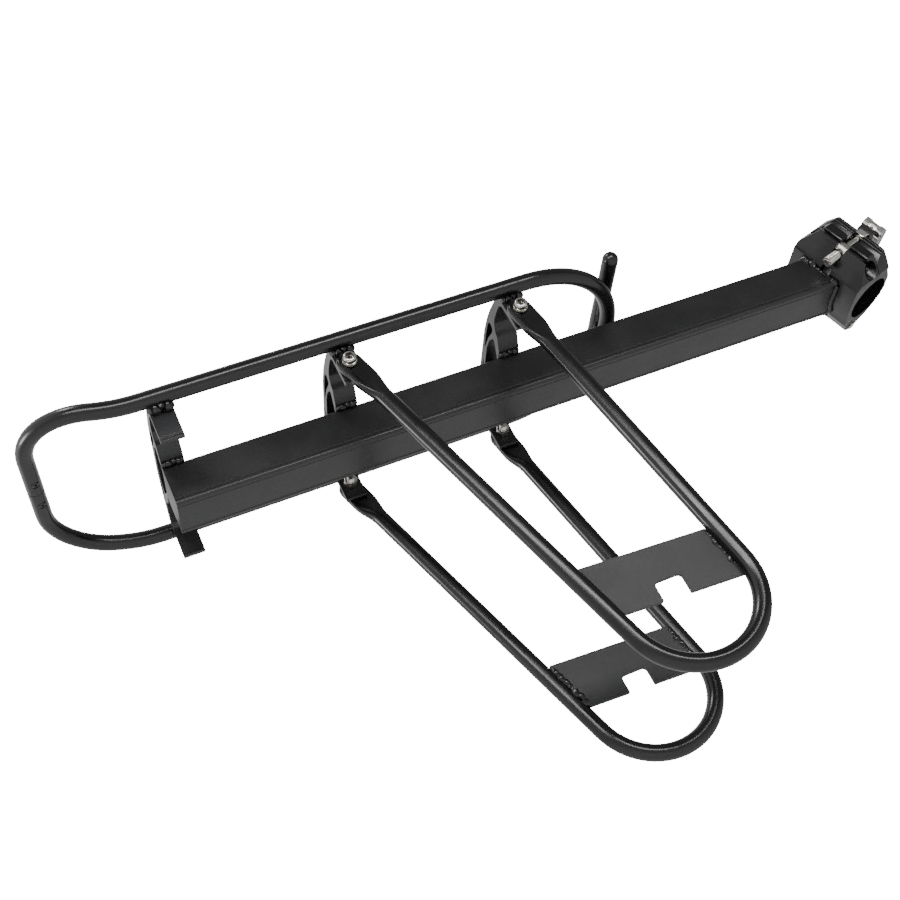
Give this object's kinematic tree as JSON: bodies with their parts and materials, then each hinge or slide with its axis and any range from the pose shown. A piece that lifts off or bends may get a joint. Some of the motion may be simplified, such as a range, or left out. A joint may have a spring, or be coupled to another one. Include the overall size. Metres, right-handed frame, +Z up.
{
  "type": "rear rack",
  "caption": "Cantilevered bicycle rear rack: rectangular beam with a hinged quick-release seatpost clamp, looped tube deck, cross brackets and side guard loops.",
  "frame": {"origin": "centre of the clamp's seatpost bore, half way up the clamp", "axes": "+X forward along the beam, +Y to the bicycle's left, +Z up as the rack is mounted; the seatpost bore leans 17 degrees back from +Z"},
  "size_m": [0.5651, 0.1436, 0.2777],
  "materials": {
    "black_paint": "satin black",
    "black_anodised": "satin black anodised",
    "black_plastic": "matte black",
    "plain_aluminium": "as drawn",
    "bright_steel": "bright zinc plated",
    "chrome": "polished"
  },
  "bodies": {
    "rack": {"main_beam": "black_paint", "deck_loop": "black_paint", "luggage_stop_bar": "black_paint", "right_guard_loop": "black_paint", "left_guard_loop": "black_paint", "right_guard_plate": "black_paint", "left_guard_plate": "black_paint", "rear_bracket": "black_anodised", "middle_bracket": "black_anodised", "front_bracket": "black_anodised", "clamp_base": "black_anodised", "beam_end_plug": "black_plastic", "left_stop_cap": "black_plastic", "right_stop_cap": "black_plastic", "deck_joint_plug": "plain_aluminium", "left_joint_screw": "bright_steel", "right_joint_screw": "bright_steel", "hinge_pin": "bright_steel", "right_rear_guard_bolt": "bright_steel", "right_rear_guard_nut": "bright_steel", "right_rear_spring_washer": "bright_steel", "right_front_guard_bolt": "bright_steel", "right_front_guard_nut": "bright_steel", "right_front_spring_washer": "bright_steel", "left_rear_guard_bolt": "bright_steel", "left_rear_guard_nut": "bright_steel", "left_rear_spring_washer": "bright_steel", "left_front_guard_bolt": "bright_steel", "left_front_guard_nut": "bright_steel", "left_front_spring_washer": "bright_steel"},
    "gate": {"clamp_gate": "black_anodised"},
    "swing_bolt": {"barrel_nut": "bright_steel", "swing_bolt": "bright_steel", "cam_washer": "chrome", "cam_pin": "chrome"},
    "lever": {"quick_release_lever": "chrome"}
  },
  "joints": [
    {"name": "gate_hinge", "type": "hinge", "parent": "rack", "child": "gate", "pos_m": [-0.00784, 0.0215, -0.0024], "axis": [-0.2924, 0, 0.9563], "range_deg": [0, 0.9]},
    {"name": "bolt_swing", "type": "hinge", "parent": "rack", "child": "swing_bolt", "pos_m": [-0.00526, -0.027, -0.00161], "axis": [0.2924, 0, -0.9563], "range_deg": [0, 45]},
    {"name": "lever_flip", "type": "hinge", "parent": "swing_bolt", "child": "lever", "pos_m": [0.02486, -0.027, 0.0076], "axis": [0.2924, 0, -0.9563], "range_deg": [0, 165]}
  ]
}
